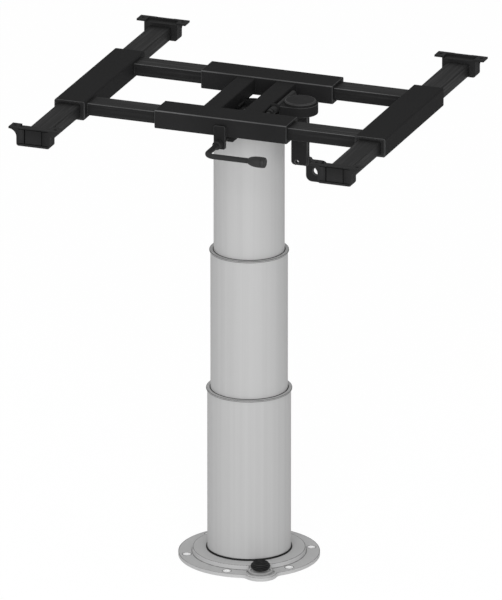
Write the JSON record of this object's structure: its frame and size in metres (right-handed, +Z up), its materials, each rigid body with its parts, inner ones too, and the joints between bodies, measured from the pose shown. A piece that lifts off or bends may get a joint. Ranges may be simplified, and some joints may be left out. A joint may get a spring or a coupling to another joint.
{
  "type": "lifting column",
  "caption": "Three-stage telescopic table column on a round floor plate with a foot button, a swivelling head and a frame that slides lengthwise and crosswise.",
  "frame": {"origin": "centre of the floor plate's screw circle, on the floor, in the axis of the column", "axes": "+Z up along the column, +X along the cross sleeves of the table frame, +Y along its side rails"},
  "size_m": [0.575, 0.57, 0.759],
  "materials": {
    "grey_paint": "satin light grey powder coat",
    "column_tube": "fine drawn satin anodised",
    "collar_grey": "moulded light grey",
    "black_rubber": "matt black",
    "black_plastic": "moulded black",
    "bracket_black": "black powder coated casting",
    "strut_black": "black paint",
    "cast_aluminium": "machined casting",
    "black_paint": "satin black powder coat",
    "steel": "zinc plated",
    "dark_steel": "black burnished"
  },
  "bodies": {
    "base": {"base_plate": "grey_paint", "foot_seal": "black_rubber", "button_housing": "grey_paint", "button_screws": "steel", "rocker_pin": "steel", "lower_tube": "column_tube", "lower_collar": "collar_grey", "strut_cylinder": "strut_black", "cylinder_gland": "strut_black"},
    "foot_button": {"foot_button": "black_rubber", "button_plunger": "steel"},
    "release_rocker": {"release_rocker": "steel"},
    "valve_pin": {"valve_pin": "steel"},
    "middle_stage": {"middle_tube": "column_tube", "middle_collar": "collar_grey", "middle_guide": "black_plastic", "strut_stage": "strut_black", "stage_gland": "strut_black"},
    "upper_stage": {"upper_tube": "column_tube", "upper_guide": "black_plastic", "column_head": "cast_aluminium", "swivel_washer": "black_plastic", "retaining_washer": "steel", "retaining_screw": "steel", "strut_rod": "steel"},
    "head": {"swivel_plate": "black_paint", "front_cross_sleeve": "black_paint", "rear_cross_sleeve": "black_paint", "cross_glides": "black_plastic", "left_member": "black_paint", "right_member": "black_paint", "cross_web": "black_paint", "lever_bracket": "black_paint", "spindle_block": "black_paint", "cam_housing": "black_plastic", "cam_cap": "black_plastic", "brake_guide": "steel", "brake_spring": "steel"},
    "carriage": {"left_rail": "black_paint", "right_rail": "black_paint", "front_cross_bar": "black_paint", "rear_cross_bar": "black_paint", "rail_glides": "black_plastic"},
    "left_runner": {"left_runner": "black_paint", "left_front_bracket": "bracket_black", "left_rear_bracket": "bracket_black", "left_bracket_screws": "steel"},
    "right_runner": {"right_runner": "black_paint", "right_front_bracket": "bracket_black", "right_rear_bracket": "bracket_black", "right_bracket_screws": "steel"},
    "clamp_shoe": {"clamp_shoe": "black_plastic"},
    "crank_lever": {"clamp_spindle": "steel", "crank_rod": "dark_steel", "lever_knob": "black_plastic"},
    "brake_handle": {"cam_handle": "black_paint"},
    "brake_rod": {"brake_rod": "steel", "brake_pad": "black_rubber"}
  },
  "joints": [
    {"name": "middle_stage_lift", "type": "slide", "parent": "base", "child": "middle_stage", "axis": [0, 0, 1], "range_m": [-0.21, 0]},
    {"name": "upper_stage_lift", "type": "slide", "parent": "middle_stage", "child": "upper_stage", "axis": [0, 0, 1], "range_m": [-0.205, 0]},
    {"name": "head_swivel", "type": "hinge", "parent": "upper_stage", "child": "head", "pos_m": [0, 0, 0.7], "axis": [0, 0, 1], "continuous": true},
    {"name": "cross_slide", "type": "slide", "parent": "head", "child": "carriage", "axis": [1, 0, 0], "range_m": [-0.1, 0.1]},
    {"name": "left_runner_slide", "type": "slide", "parent": "carriage", "child": "left_runner", "axis": [0, 1, 0], "range_m": [-0.125, 0.125]},
    {"name": "right_runner_slide", "type": "slide", "parent": "carriage", "child": "right_runner", "axis": [0, 1, 0], "range_m": [-0.125, 0.125]},
    {"name": "clamp_travel", "type": "slide", "parent": "head", "child": "clamp_shoe", "axis": [0, 1, 0], "range_m": [0, 0.00075]},
    {"name": "crank_turn", "type": "hinge", "parent": "clamp_shoe", "child": "crank_lever", "pos_m": [0, -0.137, 0.7163], "axis": [0, 1, 0], "range_deg": [0, 180]},
    {"name": "brake_handle_turn", "type": "hinge", "parent": "head", "child": "brake_handle", "pos_m": [0.0844, 0, 0.731], "axis": [0, 0, 1], "range_deg": [0, 90]},
    {"name": "brake_travel", "type": "slide", "parent": "head", "child": "brake_rod", "axis": [0, 1, 0], "range_m": [0, 0.0015]},
    {"name": "foot_button_travel", "type": "slide", "parent": "base", "child": "foot_button", "axis": [0, 0, -1], "range_m": [0, 0.0025], "stiffness_N_per_m": 8000},
    {"name": "rocker_tilt", "type": "hinge", "parent": "base", "child": "release_rocker", "pos_m": [0.02545, -0.04304, 0.0045], "axis": [0.8607, 0.509, 0], "range_deg": [0, 2.8]},
    {"name": "valve_pin_travel", "type": "slide", "parent": "base", "child": "valve_pin", "axis": [0, 0, 1], "range_m": [0, 0.00245]}
  ],
  "couplings": [
    {"joint": "right_runner_slide", "follows": "left_runner_slide", "ratio": 1},
    {"joint": "clamp_travel", "follows": "crank_turn", "m_per_rad": 0.00023873},
    {"joint": "brake_travel", "follows": "brake_handle_turn", "m_per_rad": 0.00095493},
    {"joint": "rocker_tilt", "follows": "foot_button_travel", "rad_per_m": 19.231},
    {"joint": "valve_pin_travel", "follows": "foot_button_travel", "ratio": 0.96}
  ]
}
